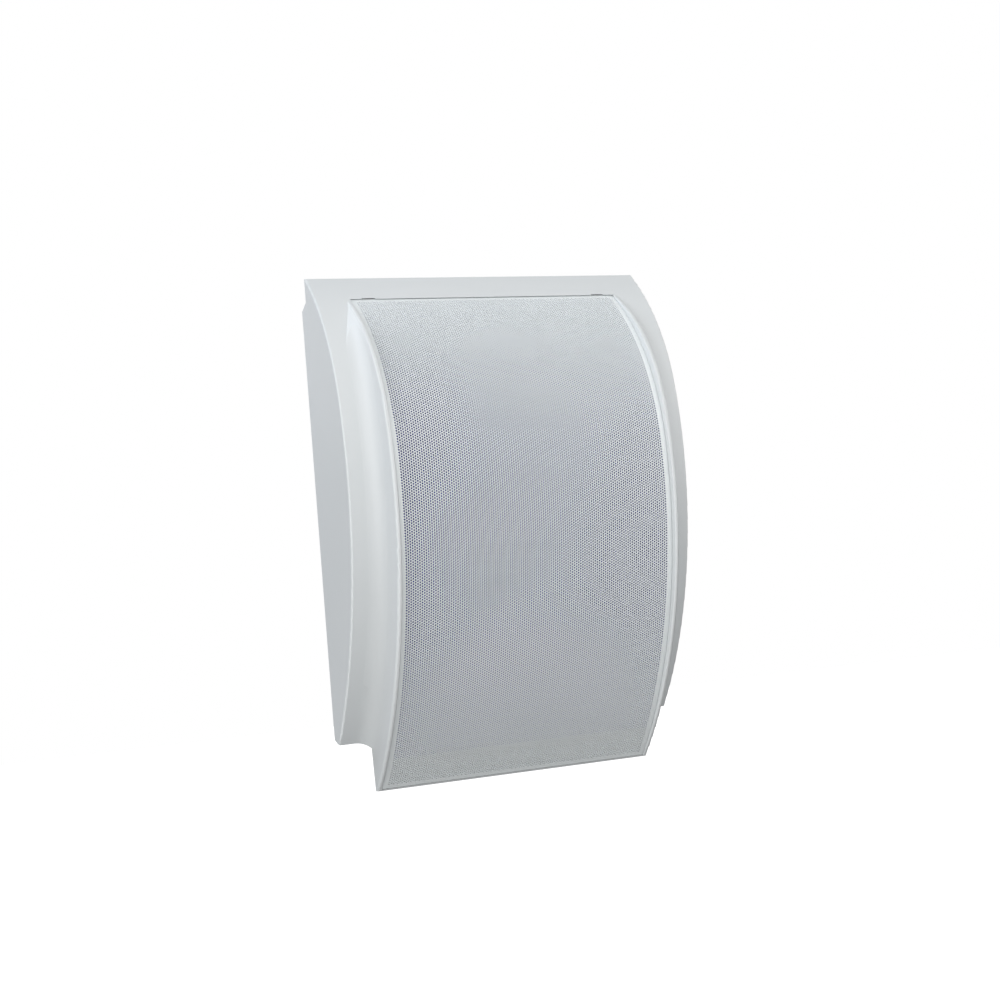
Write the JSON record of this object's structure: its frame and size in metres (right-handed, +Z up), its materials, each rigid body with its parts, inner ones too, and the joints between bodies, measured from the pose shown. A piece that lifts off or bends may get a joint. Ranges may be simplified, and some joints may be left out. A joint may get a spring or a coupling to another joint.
{
  "type": "wall speaker",
  "caption": "Wall loudspeaker: bowed moulded housing with a raised frame and a fine perforated grille over a cone driver, line transformer and terminal block",
  "frame": {"origin": "on the wall plane, in the middle of the width, half way up the housing's sides", "axes": "+Z up, +X to the right seen from the front, +Y into the wall"},
  "size_m": [0.2052, 0.0774, 0.2872],
  "materials": {
    "front_housing": "fine satin moulding",
    "grille": "powder coat over perforated steel",
    "grille_cloth": "woven acoustic cloth",
    "rear_cover": "fine satin moulding",
    "rear_cover_screws": "zinc plated",
    "cable_grommet": "matt",
    "baffle": "fibre board",
    "baffle_screws": "zinc plated",
    "driver_basket": "black paint",
    "driver_gasket": "pressed ring",
    "surround": "treated cloth",
    "cone": "pressed paper",
    "dust_cap": "pressed paper",
    "voice_coil": "copper wire",
    "spider": "resin treated cloth",
    "top_plate": "zinc plated",
    "magnet": "ferrite",
    "yoke": "zinc plated",
    "driver_terminal": "laminate",
    "driver_screws": "zinc plated",
    "transformer_core": "varnished sheets",
    "transformer_bobbin": "moulded",
    "transformer_winding": "enamelled wire",
    "transformer_clamp": "zinc plated",
    "transformer_screws": "zinc plated",
    "terminal_block": "moulded",
    "terminal_screws": "plain",
    "terminal_block_screws": "zinc plated"
  },
  "bodies": {
    "cabinet": {"front_housing": "front_housing", "grille": "grille", "grille_cloth": "grille_cloth", "rear_cover": "rear_cover", "rear_cover_screws": "rear_cover_screws", "cable_grommet": "cable_grommet", "baffle": "baffle", "baffle_screws": "baffle_screws", "driver_basket": "driver_basket", "driver_gasket": "driver_gasket", "surround": "surround", "spider": "spider", "top_plate": "top_plate", "magnet": "magnet", "yoke": "yoke", "driver_terminal": "driver_terminal", "driver_screws": "driver_screws", "transformer_core": "transformer_core", "transformer_bobbin": "transformer_bobbin", "transformer_winding": "transformer_winding", "transformer_clamp": "transformer_clamp", "transformer_screws": "transformer_screws", "terminal_block": "terminal_block", "terminal_screws": "terminal_screws", "terminal_block_screws": "terminal_block_screws"},
    "diaphragm": {"cone": "cone", "dust_cap": "dust_cap", "voice_coil": "voice_coil"}
  },
  "joints": [
    {"name": "cone_travel", "type": "slide", "parent": "cabinet", "child": "diaphragm", "axis": [0, -1, 0], "range_m": [-0.0025, 0.0025], "stiffness_N_per_m": 1500, "deforming": ["surround", "spider"]}
  ]
}
